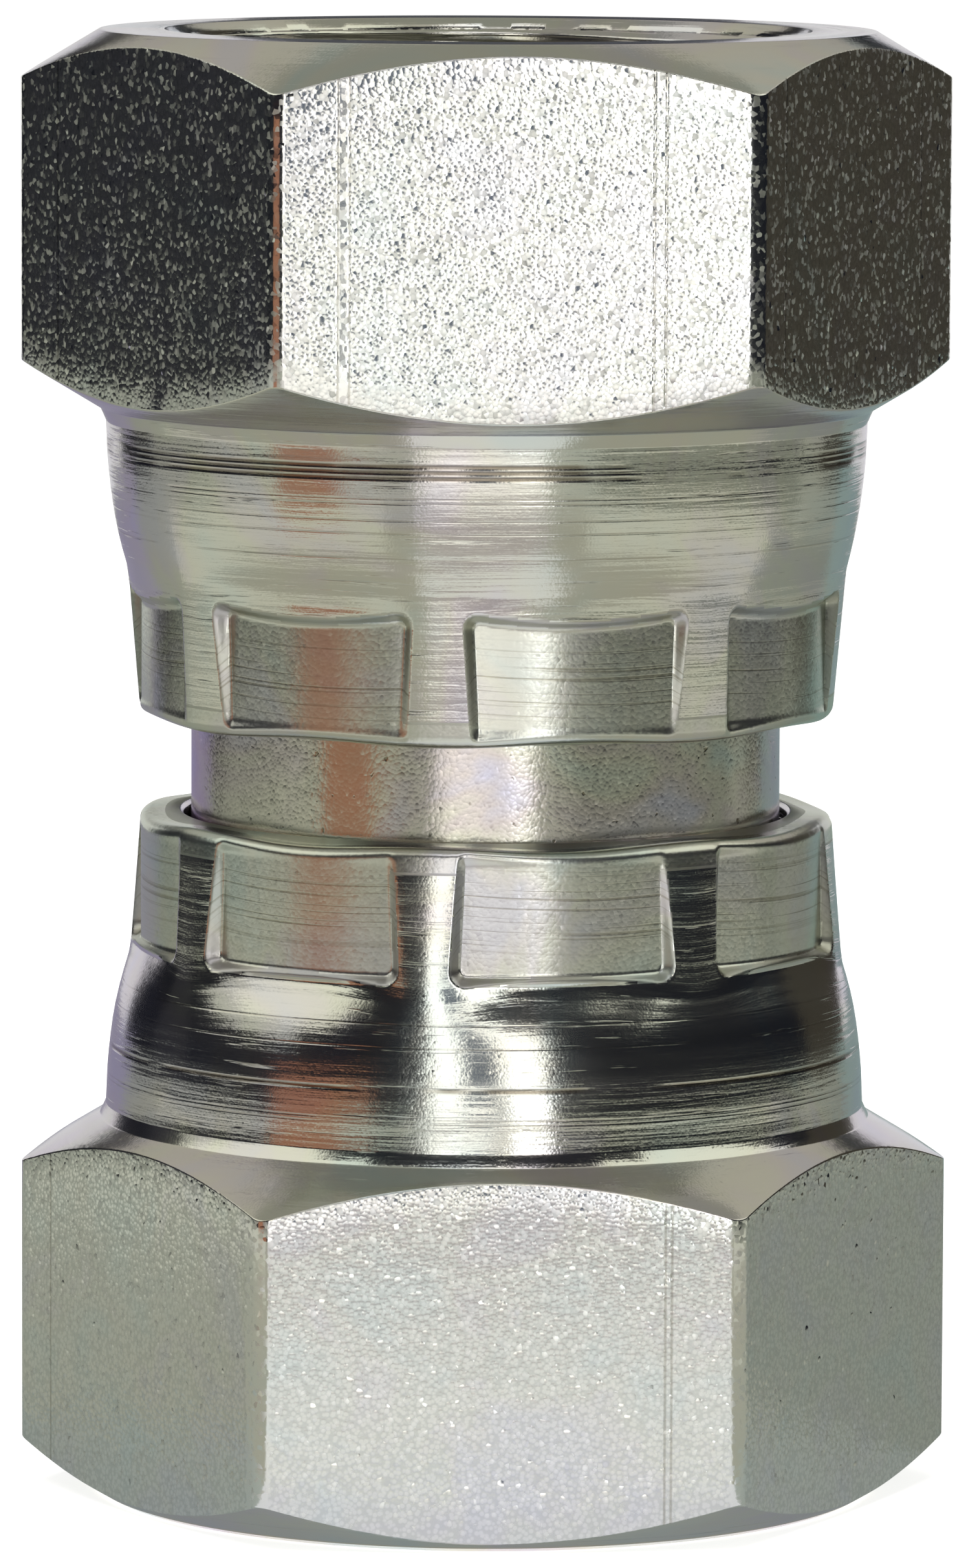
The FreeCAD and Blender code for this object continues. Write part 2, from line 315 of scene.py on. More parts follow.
def nut_stations(hex_radius):
    """A nut's closed profile, from its mouth face along the outside to the skirt's end and back inside."""
    front = (hex_radius - MOUTH_EDGE) * CHAMFER_SLOPE
    rear = NECK_ROOT - (hex_radius - NECK_ROOT_RADIUS) * CHAMFER_SLOPE
    bed = THREAD_ROOT_RADIUS + THREAD_BED
    chord = np.subtract(SKIRT_START, LAND_END)
    normal = np.array([chord[1], -chord[0]]) / np.linalg.norm(chord)
    neck = []
    for share in (k / NECK_SPANS for k in range(1, NECK_SPANS)):
        radius, height = LAND_END + chord * share + normal * NECK_BULGE * 4 * share * (1 - share)
        neck.append((radius, height, 0, 0, 1, "turned"))
    return [
        (COUNTERSINK_RADIUS, 0, 0.05, 2, 2, "turned"),
        (MOUTH_EDGE, 0, 0.08, 2, 2, "turned"),
        (hex_radius, front, EDGE_BREAK, 3, 10, "drawn"),
        (hex_radius, rear, EDGE_BREAK, 3, 3, "turned"),
        (*BAND_START, NECK_ROOT_FILLET, 3, 2, "turned"),
        (*BAND_END, NECK_ROOT_FILLET, 2, 2, "turned"),
        (*LAND_END, 0.15, 1, 1, "turned"),
        *neck,
        (*SKIRT_START, 0.8, 2, 54, "skirt"),
        (LIP_OUTER_RADIUS, NUT_LENGTH, LIP_END_ROUNDING, 7, 2, "skirt"),
        (LIP_BORE_RADIUS + LIP_BORE_CHAMFER, NUT_LENGTH, 0.05, 1, 1, "turned"),
        (LIP_BORE_RADIUS, NUT_LENGTH - LIP_BORE_CHAMFER, 0.05, 1, 2, "turned"),
        (LIP_BORE_RADIUS, LIP_START, 0, 0, 1, "turned"),
        (POCKET_RADIUS, LIP_START - (POCKET_RADIUS - LIP_BORE_RADIUS), 0, 0, 1, "turned"),
        (POCKET_RADIUS, SEAT_DEPTH, 0, 0, 1, "turned"),
        (RELIEF_RADIUS, SEAT_DEPTH, 0, 0, 3, "turned"),
        (RELIEF_RADIUS, THREAD_END, 0.03, 1, 1, "turned"),
        (bed, THREAD_END, 0, 0, 3, "turned"),
        (bed, (COUNTERSINK_RADIUS - bed) * COUNTERSINK_SLOPE, 0, 0, 1, "turned"),
    ]


def crimp(rows, zones, angles, pad_turn, edge_sag, dip_depth):
    """Presses the pads into a nut's rows, and returns how far each place is pressed, from 0 to 1."""
    pressed = np.zeros((len(rows), len(angles)))
    for k, (row, zone) in enumerate(zip(rows, zones)):
        radius, height = row
        share, across = pad_share(angles, height, pad_turn, edge_sag)
        over = across / PAD_HALF_WIDTH
        if radius.mean() > LIP_OUTER_RADIUS - OUTSIDE_DEPTH and height.mean() > PAD_START - DIP_LENGTH:
            # The wall beside and in front of the pads gives way a little
            dip = np.clip((height - PAD_START + DIP_LENGTH) / DIP_LENGTH, 0, 1) ** DIP_POWER
            beside = smooth_step(DIP_REACH - np.abs(over))
            end = np.clip((NUT_LENGTH - height) / PAD_HEIGHT, 0, 1)
            radius -= dip_depth * dip * beside * (1 - share) * end
        if zone == "skirt":
            skirt = np.interp(height, [SKIRT_START[1], NUT_LENGTH], [SKIRT_START[0], LIP_OUTER_RADIUS])
            depth = skirt - PAD_RADIUS - PAD_CROWN * np.clip(1 - over ** 2, 0, 1) - PAD_LEAN * over
            # The jaws don't reach where the end's rounding turns inwards
            outer = np.clip((radius - skirt + OUTSIDE_FADE[1]) / (OUTSIDE_FADE[1] - OUTSIDE_FADE[0]), 0, 1)
            radius -= share * np.clip(depth, 0, None) * outer
            near_rim = np.clip((height - NUT_LENGTH + RIM_WAVE_LENGTH) / RIM_WAVE_LENGTH, 0, 1) ** 2
            wave = (1 - np.cos(PAD_COUNT * (angles - math.radians(pad_turn)))) / 2
            height -= RIM_WAVE * near_rim * (1 - wave)
            outside_bore = radius > LIP_BORE_RADIUS + LIP_BORE_CHAMFER + 0.1
            pressed[k] = np.maximum(share * outer, (height > NUT_LENGTH - SATIN_RIM) & outside_bore)
    return pressed


def swivel_nut(name, hex_turn, pad_turn, turned_over, materials):
    """A crimped nut: hexagon, neck and skirt with eight pads. Turned over, its mouth is at the top."""
    turned, drawn, jaw_pressed, jaw_bruised_and_shaded = range(4)
    angles = nut_angles(hex_turn, pad_turn)
    from_flat = wrapped(angles - math.radians(hex_turn), math.radians(60))
    rows, zones = profile_rows(nut_stations(hexagon_radius(from_flat)), len(angles))
    sag, dip_depth = (UPPER_EDGE_SAG, UPPER_DIP) if turned_over else (LOWER_EDGE_SAG, LOWER_DIP)
    pressed = crimp(rows, zones, angles, pad_turn, sag, dip_depth)
    for axis in (0, 1):  # from the corners to the faces between them
        pressed = (pressed + np.roll(pressed, -1, axis=axis)) / 2
    face_slots = np.full(pressed.shape, turned)
    face_slots[[zone == "drawn" for zone in zones]] = drawn
    # Faces part way into a pad, mostly its sloping walls, take the bruised finish with its painted shade.
    face_slots[pressed > BRUISED_AND_SHADED_FROM] = jaw_bruised_and_shaded
    face_slots[pressed > PRESSED_FROM] = jaw_pressed
    flat_number = np.round((angles - math.radians(hex_turn) - from_flat) / math.radians(60))
    along = ((flat_number + 3) % 6 - 3) * FLAT_WIDTH + np.tan(from_flat) * FLAT_RADIUS
    shift = 0 if turned_over else LOWER_SHIFT
    uv = np.stack([np.stack([along + shift, height + shift], axis=-1) for radius, height in rows])
    if turned_over:
        rows = [(radius, OVERALL_LENGTH - height) for radius, height in rows]
    return weigh_normals(ring_mesh(name, rows, angles, face_slots, materials, flip=turned_over, uv=uv))


def thread_tree(material):
    """Geometry nodes that roll a grid up into a screw thread: rows follow the helix, columns go round."""
    tree = bpy.data.node_groups.new("pipe_thread", "GeometryNodeTree")
    sizes = {"Pitch": PITCH, "Root radius": THREAD_ROOT_RADIUS, "Crest radius": THREAD_CREST_RADIUS,
             "Bed radius": THREAD_ROOT_RADIUS + 2 * THREAD_BED, "Thread end": THREAD_END,
             "Countersink radius": COUNTERSINK_RADIUS, "Countersink slope": COUNTERSINK_SLOPE}
    for name in sizes:
        tree.interface.new_socket(name, in_out="INPUT", socket_type="NodeSocketFloat")
    tree.interface.new_socket("Geometry", in_out="OUTPUT", socket_type="NodeSocketGeometry")
    given = add(tree, "NodeGroupInput").outputs
    rows = int((THREAD_END / PITCH + 1) * THREAD_ROWS_PER_PITCH) + 5
    grid = add(tree, "GeometryNodeMeshGrid", {"Vertices X": THREAD_COLUMNS, "Vertices Y": rows})
    found = {name: given[name] for name in sizes}
    found["index"] = add(tree, "GeometryNodeInputIndex")
    # The sum for each vertex, a step a line: what it finds, how, and from what
    steps = (
        ("column", "ADD", "index", 0.5),
        ("column", "DIVIDE", "column", float(rows)),
        ("column", "FLOOR", "column"),
        ("before", "MULTIPLY", "column", float(rows)),
        ("row", "SUBTRACT", "index", "before"),
        ("turn", "DIVIDE", "column", THREAD_COLUMNS - 1.0),
        ("angle", "MULTIPLY", "turn", math.tau),
        # Up the helix, between the countersink and the thread's end
        ("start", "SUBTRACT", "Countersink radius", "Bed radius"),
        ("start", "MULTIPLY", "start", "Countersink slope"),
        ("climb", "SUBTRACT", "row", 1.0),
        ("climb", "DIVIDE", "climb", float(THREAD_ROWS_PER_PITCH)),
        ("climb", "ADD", "climb", "turn"),
        ("climb", "MULTIPLY", "climb", "Pitch"),
        ("climb", "SUBTRACT", "climb", "Pitch"),
        ("height", "MAXIMUM", "climb", "start"),
        ("height", "MINIMUM", "height", "Thread end"),
        # The ridge: a zigzag along the axis, halfway between straight flanks and a rounded wave
        ("phase", "DIVIDE", "height", "Pitch"),
        ("phase", "SUBTRACT", "phase", "turn"),
        ("phase", "FRACT", "phase"),
        ("zigzag", "MULTIPLY", "phase", 2.0),
        ("zigzag", "SUBTRACT", "zigzag", 1.0),
        ("zigzag", "ABSOLUTE", "zigzag"),
        ("zigzag", "SUBTRACT", 1.0, "zigzag"),
        ("rounded", "SMOOTHSTEP", "zigzag", 0.16, 0.84),
        ("rounded", "MULTIPLY", "rounded", 0.5),
        ("straight", "MULTIPLY_ADD", "zigzag", 1.5, -0.25),
        ("straight", "MAXIMUM", "straight", 0.0),
        ("straight", "MINIMUM", "straight", 1.0),
        ("straight", "MULTIPLY", "straight", 0.5),
        ("ridge", "ADD", "rounded", "straight"),
        ("depth", "SUBTRACT", "Root radius", "Crest radius"),
        ("depth", "MULTIPLY", "ridge", "depth"),
        ("cut", "SUBTRACT", "Root radius", "depth"),
        ("cone", "DIVIDE", "height", "Countersink slope"),
        ("cone", "SUBTRACT", "Countersink radius", "cone"),
        ("wall", "MAXIMUM", "cut", "cone"),
        # The first row and the last two lie on the bed, and the very last meets the first
        ("first", "LESS_THAN", "row", 0.5),
        ("last two", "GREATER_THAN", "row", rows - 2.5),
        ("last", "GREATER_THAN", "row", rows - 1.5),
        ("on bed", "MAXIMUM", "first", "last two"),
        ("off bed", "SUBTRACT", 1.0, "on bed"),
        ("wall", "MULTIPLY", "wall", "off bed"),
        ("bed", "MULTIPLY", "Bed radius", "on bed"),
        ("radius", "ADD", "wall", "bed"),
        ("at start", "MAXIMUM", "first", "last"),
        ("off start", "SUBTRACT", 1.0, "at start"),
        ("height", "MULTIPLY", "height", "off start"),
        ("start", "MULTIPLY", "start", "at start"),
        ("height", "ADD", "height", "start"),
        ("x", "SINE", "angle"),
        ("x", "MULTIPLY", "radius", "x"),
        ("y", "COSINE", "angle"),
        ("y", "MULTIPLY", "y", -1.0),
        ("y", "MULTIPLY", "radius", "y"),
    )
    for name, operation, *terms in steps:
        terms = [found.get(term, term) for term in terms]
        if operation == "SMOOTHSTEP":
            sockets = dict(zip(("Value", "From Min", "From Max"), terms))
            found[name] = add(tree, "ShaderNodeMapRange", sockets, interpolation_type=operation)
        else:
            found[name] = add(tree, "ShaderNodeMath", dict(enumerate(terms)), operation=operation)
    position = add(tree, "ShaderNodeCombineXYZ", {"X": found["x"], "Y": found["y"], "Z": found["height"]})
    metres = add(tree, "ShaderNodeVectorMath", {0: position, "Scale": MM}, operation="SCALE")
    rolled = add(tree, "GeometryNodeSetPosition", {"Geometry": grid, "Position": metres})
    welded = add(tree, "GeometryNodeMergeByDistance", {"Geometry": rolled, "Distance": 2 * MICRON})
    outward = add(tree, "GeometryNodeFlipFaces", {"Mesh": welded})
    smooth = add(tree, "GeometryNodeSetShadeSmooth", {"Geometry": outward})
    real = add(tree, "GeometryNodeRealizeInstances", {"Geometry": smooth})
    coated = add(tree, "GeometryNodeSetMaterial", {"Geometry": real, "Material": material})
    add(tree, "NodeGroupOutput", {"Geometry": coated})
    return tree, sizes


def nut_thread(name, tree, sizes, turned_over):
    """One nut's thread, a thin liner bedded in the bore's wall. Turned over, it stays right-hand."""
    piece = bpy.data.objects.new(name, bpy.data.meshes.new(name))
    bpy.context.scene.collection.objects.link(piece)
    modifier = piece.modifiers.new("thread", "NODES")
    modifier.node_group = tree
    for item in tree.interface.items_tree:
        if item.in_out == "INPUT":
            modifier[item.identifier] = float(sizes[item.name])
    finished(piece)
    if turned_over:
        for vertex in piece.data.vertices:
            vertex.co = (-vertex.co.x, vertex.co.y, OVERALL_LENGTH * MM - vertex.co.z)
        piece.data.update()
    return piece


# Stem

def tubular_stem(materials):
    """The stem, turned from bar: flow bore, cone noses, shoulders and collar."""
    face = STEM_TIP + NOSE_LENGTH
    back = face + SHOULDER_THICKNESS
    cone_end = STEM_TIP + (NOSE_RADIUS - NOSE_TIP_RADIUS) * NOSE_SLOPE
    lower_half = [
        (FLOW_BORE_RADIUS + FLOW_BORE_CHAMFER, STEM_TIP, 0, 0, 1, "turned"),
        (NOSE_TIP_RADIUS, STEM_TIP, 0.15, 3, 4, "turned"),
        (NOSE_RADIUS, cone_end, 0.2, 2, 2, "turned"),
        (NOSE_RADIUS, face, 0.1, 1, 1, "turned"),
        (SHOULDER_RADIUS, face, 0.08, 2, 1, "turned"),
        (SHOULDER_RADIUS, back, 0.08, 2, 1, "turned"),
        (COLLAR_RADIUS, back + SHOULDER_RADIUS - COLLAR_RADIUS, 0.1, 2, 6, "collar"),
    ]
    # The upper half is the same from the collar on, with the spans between the same stations
    upper_half = [(radius, OVERALL_LENGTH - height, rounding, steps)
                  for radius, height, rounding, steps, _, _ in lower_half[::-1]]
    spans = [station[4:] for station in lower_half[-2::-1]] + [(1, "turned")]
    bore = [
        (FLOW_BORE_RADIUS, OVERALL_LENGTH - STEM_TIP - FLOW_BORE_CHAMFER, 0.05, 1, 8, "turned"),
        (FLOW_BORE_RADIUS, STEM_TIP + FLOW_BORE_CHAMFER, 0.05, 1, 1, "turned"),
    ]
    stations = lower_half + [place + span for place, span in zip(upper_half, spans)] + bore
    angles = np.radians(np.arange(0, 360, 1.875))
    rows, zones = profile_rows(stations, len(angles))
    slots = np.repeat([[zone == "collar"] for zone in zones], len(angles), axis=1)
    return weigh_normals(ring_mesh("stem_turned", rows, angles, slots, materials))


# Finishes. The steel's zinc coat is the same all over, and each finish is what the making left under it.

FIRST_COLOUR, SECOND_COLOUR, MIXED_COLOUR = 6, 7, 2  # a mix node's sockets for colours
COAT = [(0.32, "#cfdedb"), (0.42, "#dfe0d6"), (0.5, "#e2dfd0"), (0.57, "#e0d8d8"), (0.66, "#d8d4e2")]
COLLAR_COAT = [(0.32, "#aecfd0"), (0.42, "#cfd6c0"), (0.5, "#d8ceb0"), (0.57, "#cdb6b0"),
               (0.66, "#bfb6d8")]


def start_material(name):
    """A material with no nodes yet, and its tree."""
    material = bpy.data.materials.new(name)
    material.use_nodes = True
    material.node_tree.nodes.clear()
    return material, material.node_tree


def object_place(tree):
    """Object coordinates, in metres in the part's own frame."""
    return add(tree, "ShaderNodeTexCoord").outputs["Object"]


def turning_marks(tree, around, per_mm, detail, roughness):
    """Noise that changes fast along the tool's feed and slowly round the axis, as turning marks do."""
    parts = add(tree, "ShaderNodeSeparateXYZ", {0: object_place(tree)}).outputs
    flat = add(tree, "ShaderNodeCombineXYZ", {"X": parts["X"], "Y": parts["Y"]})
    radius = add(tree, "ShaderNodeVectorMath", {0: flat}, operation="LENGTH").outputs["Value"]
    direction = add(tree, "ShaderNodeVectorMath", {0: flat}, operation="NORMALIZE")
    spread = add(tree, "ShaderNodeVectorMath", {0: direction, "Scale": around}, operation="SCALE")
    feed = add(tree, "ShaderNodeMath", {0: parts["Z"], 1: radius}, operation="ADD")
    fast = add(tree, "ShaderNodeMath", {0: feed, 1: per_mm / MM}, operation="MULTIPLY")
    lift = add(tree, "ShaderNodeCombineXYZ", {"Z": fast})
    place = add(tree, "ShaderNodeVectorMath", {0: spread, 1: lift}, operation="ADD")
    return add(tree, "ShaderNodeTexNoise",
               {"Vector": place, "Scale": 1.0, "Detail": detail, "Roughness": roughness})


def crystals(tree, grain_mm):
    """The coat's crystals: a random colour for each, and how domed its top is at each place.

    They are drawn about a tenth of a millimetre across, coarser than most real ones, so that they show.
    The pattern is turned off the object's axes, so that no flat cuts it in rows.
    """
    turned = add(tree, "ShaderNodeMapping", {"Vector": object_place(tree), "Rotation": (0.6, 0.9, 0.4)})
    cells = add(tree, "ShaderNodeTexVoronoi", {"Vector": turned, "Scale": 1 / (grain_mm * MM)}).outputs
    dome = add(tree, "ShaderNodeMath", {0: cells["Distance"], 1: 2.0}, operation="POWER")
    return cells["Color"], dome


def crystal_normal(tree, cells, even, stray):
    """The surface's normal, tilted a little in every crystal, and by much more in a few stray ones."""
    centred = add(tree, "ShaderNodeVectorMath", {0: cells, 1: (0.5, 0.5, 0.5)}, operation="SUBTRACT")
    length = add(tree, "ShaderNodeVectorMath", {0: centred}, operation="LENGTH").outputs["Value"]
    power = add(tree, "ShaderNodeMath", {0: length, 1: 6.0}, operation="POWER")
    amount = add(tree, "ShaderNodeMath", {0: power, 1: stray, 2: even}, operation="MULTIPLY_ADD")
    lean = add(tree, "ShaderNodeVectorMath", {0: centred, "Scale": amount}, operation="SCALE")
    normal = add(tree, "ShaderNodeNewGeometry").outputs["Normal"]
    leaned = add(tree, "ShaderNodeVectorMath", {0: normal, 1: lean}, operation="ADD")
    return add(tree, "ShaderNodeVectorMath", {0: leaned}, operation="NORMALIZE")


def lines_at(tree, value, places, half_width):
    """1 on thin lines where the value is one of the places, and 0 elsewhere."""
    lines = None
    for place in places:
        off = add(tree, "ShaderNodeMath", {0: value, 1: place}, operation="SUBTRACT")
        off = add(tree, "ShaderNodeMath", {0: off}, operation="ABSOLUTE")
        line = add(tree, "ShaderNodeMapRange", {"Value": off, "From Min": half_width * 0.3,
                                                "From Max": half_width, "To Min": 1.0, "To Max": 0.0})
        if lines is not None:
            line = add(tree, "ShaderNodeMath", {0: lines, 1: line}, operation="MAXIMUM")
        lines = line
    return lines


def passivated(tree, stops, patch_mm, strength, plain="#dfded8"):
    """The faint rainbow of a clear passivated zinc coat, in soft patches."""
    patches = add(tree, "ShaderNodeTexNoise", {"Vector": object_place(tree), "Scale": 1 / (patch_mm * MM),
                                               "Detail": 3.0, "Roughness": 0.55, "Distortion": 0.6})
    ramp = add(tree, "ShaderNodeValToRGB", {"Fac": patches})
    elements = ramp.color_ramp.elements
    while len(elements) < len(stops):
        elements.new(0.5)
    for element, (position, colour) in zip(elements, stops):
        element.position = position
        element.color = hex_color(colour)
    mixed = add(tree, "ShaderNodeMix", {"Factor": strength, FIRST_COLOUR: plain, SECOND_COLOUR: ramp},
                data_type="RGBA")
    return mixed.outputs[MIXED_COLOUR]


def darkened(tree, colour, amount, shade):
    """The colour multiplied towards a darker shade, where the amount is high."""
    mixed = add(tree, "ShaderNodeMix", {"Factor": amount, FIRST_COLOUR: colour, SECOND_COLOUR: shade},
                data_type="RGBA", blend_type="MULTIPLY")
    return mixed.outputs[MIXED_COLOUR]


def finish_material(tree, base, roughness, normal, edge_tint):
    """The metal that a finish ends in. The edge tint is what it mirrors at a glancing angle."""
    shader = add(tree, "ShaderNodeBsdfPrincipled", {"Metallic": 1.0, "Base Color": base, "Normal": normal,
                                                    "Roughness": roughness, "Specular Tint": edge_tint})
    add(tree, "ShaderNodeOutputMaterial", {"Surface": shader})


def on_nut(tree):
    """Millimetres round the flats and up from the nut's mouth, which its UV map carries."""
    carried = add(tree, "ShaderNodeUVMap", uv_map="along_flats")
    return add(tree, "ShaderNodeSeparateXYZ", {0: carried}).outputs


def turned_zinc():
    """Turned steel under bright zinc: a near mirror, crossed by rings from the tool.

    A few rings are deep and broken along their length. Their floors, and the tool's fainter dashes,
    are darkened with painted shade.
    """
    material, tree = start_material("turned_zinc_plated_steel")
    fine = turning_marks(tree, 2.2, 6.0, 3.0, 0.6)
    coarse = turning_marks(tree, 0.7, 2.0, 2.0, 0.5)
    up = on_nut(tree)["Y"]
    deep = lines_at(tree, up, DEEP_RINGS, 0.085)
    faint = lines_at(tree, up, FAINT_RINGS, 0.035)
    rings = add(tree, "ShaderNodeMath", {0: faint, 1: 0.3, 2: deep}, operation="MULTIPLY_ADD")
    wear = add(tree, "ShaderNodeTexNoise",
               {"Vector": object_place(tree), "Scale": 0.26 / MM, "Detail": 3.0})
    broken = add(tree, "ShaderNodeMapRange", {"Value": wear, "From Min": 0.36, "From Max": 0.5})
    rings = add(tree, "ShaderNodeMath", {0: rings, 1: broken}, operation="MULTIPLY")
    dashes = add(tree, "ShaderNodeMapRange", {"Value": fine, "From Min": 0.37, "From Max": 0.3})
    dashes = add(tree, "ShaderNodeMath", {0: dashes, 1: 0.45}, operation="MULTIPLY")
    wavy = add(tree, "ShaderNodeMath", {0: coarse, 1: 1.6, 2: fine}, operation="MULTIPLY_ADD")
    cut = add(tree, "ShaderNodeMath", {0: rings, 1: 1.05, 2: dashes}, operation="MULTIPLY_ADD")
    height = add(tree, "ShaderNodeMath", {0: wavy, 1: cut}, operation="SUBTRACT")
    cells, dome = crystals(tree, 0.07)
    height = add(tree, "ShaderNodeMath", {0: dome, 1: -0.12, 2: height}, operation="MULTIPLY_ADD")
    bump = add(tree, "ShaderNodeBump", {"Height": height, "Strength": 1.0, "Distance": 9.5 * MICRON,
                                        "Normal": crystal_normal(tree, cells, 0.012, 0.15)})
    rough = add(tree, "ShaderNodeMapRange", {"Value": coarse, "To Min": 0.1, "To Max": 0.22})
    # Painted shade: the ring floors and the dashes are darkened in the base colour, towards #aea69c.
    groove_shade = add(tree, "ShaderNodeMath", {0: dashes, 1: 0.1, 2: rings}, operation="MULTIPLY_ADD",
               use_clamp=True)
    base = darkened(tree, passivated(tree, COAT, 5.0, 0.6), groove_shade, "#aea69c")
    finish_material(tree, base, rough, bump, "#e0dee8")
    return material


def drawn_zinc():
    """Drawn hexagon bar, etched and zinc plated: domed crystals that sparkle, the straight scratches of
    the drawing die, and bands and corners that it burnished smooth."""
    material, tree = start_material("drawn_zinc_plated_steel")
    along = on_nut(tree)["X"]
    places = UPPER_LINES + tuple(LOWER_SHIFT + line for line in LOWER_LINES)
    scratches = lines_at(tree, along, places, 0.05)
    bands = lines_at(tree, along, BURNISHED, 0.2)
    lower = add(tree, "ShaderNodeMath", {0: along, 1: LOWER_SHIFT / 2}, operation="GREATER_THAN")
    own = add(tree, "ShaderNodeMath", {0: lower, 1: -LOWER_SHIFT, 2: along}, operation="MULTIPLY_ADD")
    half_flat = FLAT_WIDTH / 2  # the strip along each corner is burnished, and fades in over 0.14 mm
    from_middle = add(tree, "ShaderNodeMath", {0: own, 1: half_flat}, operation="PINGPONG")
    corner = add(tree, "ShaderNodeMapRange", {"Value": from_middle, "From Min": half_flat - 0.34,
                                              "From Max": half_flat - 0.2})
    smooth = add(tree, "ShaderNodeMath", {0: bands, 1: corner}, operation="MAXIMUM")
    rest = add(tree, "ShaderNodeMath", {0: 1.0, 1: smooth}, operation="SUBTRACT")
    cells, dome = crystals(tree, 0.125)
    grain = add(tree, "ShaderNodeMath", {0: dome, 1: rest}, operation="MULTIPLY")
    relief = add(tree, "ShaderNodeMath", {0: scratches, 1: -0.6, 2: -1.0}, operation="MULTIPLY_ADD")
    relief = add(tree, "ShaderNodeMath", {0: grain, 1: -1.0, 2: relief}, operation="MULTIPLY_ADD")
    bump = add(tree, "ShaderNodeBump", {"Height": relief, "Strength": 1.0, "Distance": 5.2 * MICRON,
                                        "Normal": crystal_normal(tree, cells, 0.03, 1.0)})
    rough = add(tree, "ShaderNodeMapRange", {"Value": add(tree, "ShaderNodeSeparateXYZ", {0: cells}),
                                             "From Min": 0.7, "To Min": 0.13, "To Max": 0.44})
    # Painted shade: the base is darkened towards #eeefef round the rim of each crystal's dome, in the
    # creases between them.
    edge = add(tree, "ShaderNodeMapRange", {"Value": grain, "From Min": 0.12, "From Max": 0.4})
    base = darkened(tree, passivated(tree, COAT, 3.0, 0.3, plain="#f4f4f0"), edge, "#eeefef")
    base = darkened(tree, base, scratches, "#dcdad6")
    finish_material(tree, base, rough, bump, "#e8e8ea")
    return material


def pressed_zinc(name, roughness, plain):
    """Skirt under the jaws: the rings half flattened, the coat dulled, and painted shade in what is left
    of them.

    Where the jaws' edges and the rim were bruised, the coat is duller still; its darker colour there is
    painted shade on the pads' sloping walls.
    """
    material, tree = start_material(name)
    rings = turning_marks(tree, 1.0, 11.0, 2.0, 0.5)
    up = add(tree, "ShaderNodeMath", {0: on_nut(tree)["Y"], 1: LOWER_SHIFT}, operation="MODULO")
    away = add(tree, "ShaderNodeMath", {0: up, 1: PAD_RINGS}, operation="SUBTRACT")
    away = add(tree, "ShaderNodeMath", {0: away}, operation="ABSOLUTE")
    left = add(tree, "ShaderNodeMapRange", {"Value": away, "From Min": 0.5, "From Max": 1.2,
                                            "To Min": 1.0, "To Max": 0.1})
    groove_and_shade = add(tree, "ShaderNodeMapRange", {"Value": rings, "From Min": 0.45, "From Max": 0.35})
    groove_and_shade = add(tree, "ShaderNodeMath", {0: groove_and_shade, 1: left}, operation="MULTIPLY")
    faded = add(tree, "ShaderNodeMath", {0: groove_and_shade, 1: 0.35}, operation="MULTIPLY")
    cells, dome = crystals(tree, 0.1)
    height = add(tree, "ShaderNodeMath", {0: dome, 1: 0.5, 2: faded}, operation="MULTIPLY_ADD")
    height = add(tree, "ShaderNodeMath", {0: height, 1: -1.0}, operation="MULTIPLY")
    bump = add(tree, "ShaderNodeBump", {"Height": height, "Strength": 1.0, "Distance": 3 * MICRON,
                                        "Normal": crystal_normal(tree, cells, 0.02, 0.15)})
    # Painted shade: what is left of the rings is darkened towards #d8d5ce.
    base = darkened(tree, passivated(tree, COAT, 4.0, 0.5, plain), groove_and_shade, "#d8d5ce")
    finish_material(tree, base, roughness, bump, "#dfe2de")
    return material


def collar_zinc():
    """The stem's bare collar: satin, finely pitted, and where the coat shows its rainbow most."""
    material, tree = start_material("satin_zinc_plated_steel")
    pitting = add(tree, "ShaderNodeTexNoise",
                  {"Vector": object_place(tree), "Scale": 3.4 / MM, "Detail": 2.0, "Roughness": 0.5})
    pits = add(tree, "ShaderNodeMapRange", {"Value": pitting, "From Min": 0.29, "From Max": 0.24})
    cells, dome = crystals(tree, 0.1)
    height = add(tree, "ShaderNodeMath", {0: dome, 1: 0.6, 2: pits}, operation="MULTIPLY_ADD")
    height = add(tree, "ShaderNodeMath", {0: height, 1: -1.0}, operation="MULTIPLY")
    bump = add(tree, "ShaderNodeBump", {"Height": height, "Strength": 1.0, "Distance": 3.5 * MICRON,
                                        "Normal": crystal_normal(tree, cells, 0.02, 0.2)})
    base = darkened(tree, passivated(tree, COLLAR_COAT, 5.5, 0.5, plain="#dfe2e0"), pits, "#c4beb2")
    finish_material(tree, base, 0.18, bump, "#dcd4e8")
    return material


# Stage. Its lengths are metres.

def shine(tree, colour, strength):
    """The light that a card's material ends in."""
    light = add(tree, "ShaderNodeEmission", {"Color": colour, "Strength": strength})
    add(tree, "ShaderNodeOutputMaterial", {"Surface": light})


def glowing(name, colour, strength):
    """A card's light, the same all over."""
    material, tree = start_material(name)
    shine(tree, colour, strength)
    return material


